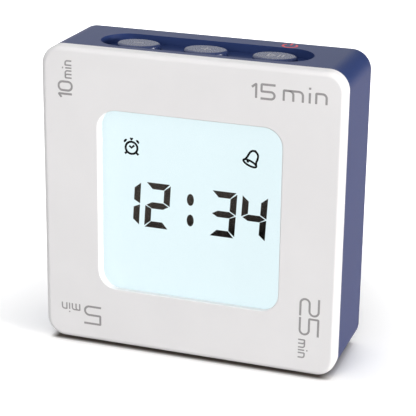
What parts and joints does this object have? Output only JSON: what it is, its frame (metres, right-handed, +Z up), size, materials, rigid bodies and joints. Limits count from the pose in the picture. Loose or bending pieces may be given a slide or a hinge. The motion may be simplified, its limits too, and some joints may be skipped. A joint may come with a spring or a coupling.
{
  "type": "countdown timer",
  "caption": "Square flip timer with a recessed backlit display, a two-part case, oval keys in a top pocket and a snap battery door in its back.",
  "frame": {"origin": "middle of the base of the bounding box, with the timer standing on its lower edge as in normal use", "axes": "+X to the right as the display is read, +Y from the display to the back, +Z up"},
  "size_m": [0.065, 0.0212, 0.065],
  "materials": {
    "white_shell": "fine satin moulded plastic",
    "navy_shell": "fine satin moulded plastic",
    "key_navy": "satin moulded plastic",
    "clear_lens": "clear acrylic sheet",
    "display_glass": "backlit display, pale cyan",
    "guide_acrylic": "clear acrylic with a white back",
    "holder_white": "white moulded plastic",
    "zebra_rubber": "layered silicone rubber",
    "board_green": "green solder mask",
    "black_epoxy": "black moulded plastic and epoxy",
    "bright_metal": "nickel-plated steel",
    "screw_steel": "zinc-plated steel",
    "brass": "bare brass",
    "cell_wrap": "shrink-wrap sleeve",
    "red_insulation": "red wire insulation",
    "black_insulation": "black wire insulation"
  },
  "bodies": {
    "case": {"front_shell": "white_shell", "rear_shell": "navy_shell", "display_lens": "clear_lens", "lcd_cell": "display_glass", "light_guide": "guide_acrylic", "display_holder": "holder_white", "zebra_strip": "zebra_rubber", "backlight_lamp_left": "holder_white", "backlight_lamp_right": "holder_white", "main_board": "board_green", "driver_blob": "black_epoxy", "crystal": "bright_metal", "capacitor": "bright_metal", "transistor": "black_epoxy", "buzzer_case": "black_epoxy", "buzzer_disc": "brass", "tilt_base_left": "black_epoxy", "tilt_can_left": "bright_metal", "tilt_base_right": "black_epoxy", "tilt_can_right": "bright_metal", "key_switch_left": "black_epoxy", "key_switch_middle": "black_epoxy", "key_switch_right": "black_epoxy", "battery_cell_lower": "cell_wrap", "battery_cell_upper": "cell_wrap", "contact_negative": "bright_metal", "contact_positive": "bright_metal", "contact_link": "bright_metal", "battery_spring_lower": "bright_metal", "battery_spring_upper": "bright_metal", "wire_negative": "black_insulation", "wire_positive": "red_insulation", "case_screw_1": "screw_steel", "case_screw_2": "screw_steel", "case_screw_3": "screw_steel", "case_screw_4": "screw_steel", "board_screw_1": "screw_steel", "board_screw_2": "screw_steel", "board_screw_3": "screw_steel", "board_screw_4": "screw_steel"},
    "door": {"battery_door": "navy_shell"},
    "key_left": {"key_cap_left": "key_navy", "switch_plunger_left": "holder_white"},
    "key_middle": {"key_cap_middle": "key_navy", "switch_plunger_middle": "holder_white"},
    "key_right": {"key_cap_right": "key_navy", "switch_plunger_right": "holder_white"},
    "ball_left": {"tilt_ball_left": "screw_steel"},
    "ball_right": {"tilt_ball_right": "screw_steel"}
  },
  "joints": [
    {"name": "door_hinge", "type": "hinge", "parent": "case", "child": "door", "pos_m": [0, 0.01065, 0.0034], "axis": [-1, 0, 0], "range_deg": [0, 60]},
    {"name": "key_left_press", "type": "slide", "parent": "case", "child": "key_left", "axis": [0, 0, -1], "range_m": [0, 0.0005], "stiffness_N_per_m": 3200},
    {"name": "key_middle_press", "type": "slide", "parent": "case", "child": "key_middle", "axis": [0, 0, -1], "range_m": [0, 0.0005], "stiffness_N_per_m": 3200},
    {"name": "key_right_press", "type": "slide", "parent": "case", "child": "key_right", "axis": [0, 0, -1], "range_m": [0, 0.0005], "stiffness_N_per_m": 3200},
    {"name": "ball_left_roll", "type": "slide", "parent": "case", "child": "ball_left", "axis": [-0.7071, 0, 0.7071], "range_m": [0, 0.0031]},
    {"name": "ball_right_roll", "type": "slide", "parent": "case", "child": "ball_right", "axis": [0.7071, 0, 0.7071], "range_m": [0, 0.0031]}
  ]
}
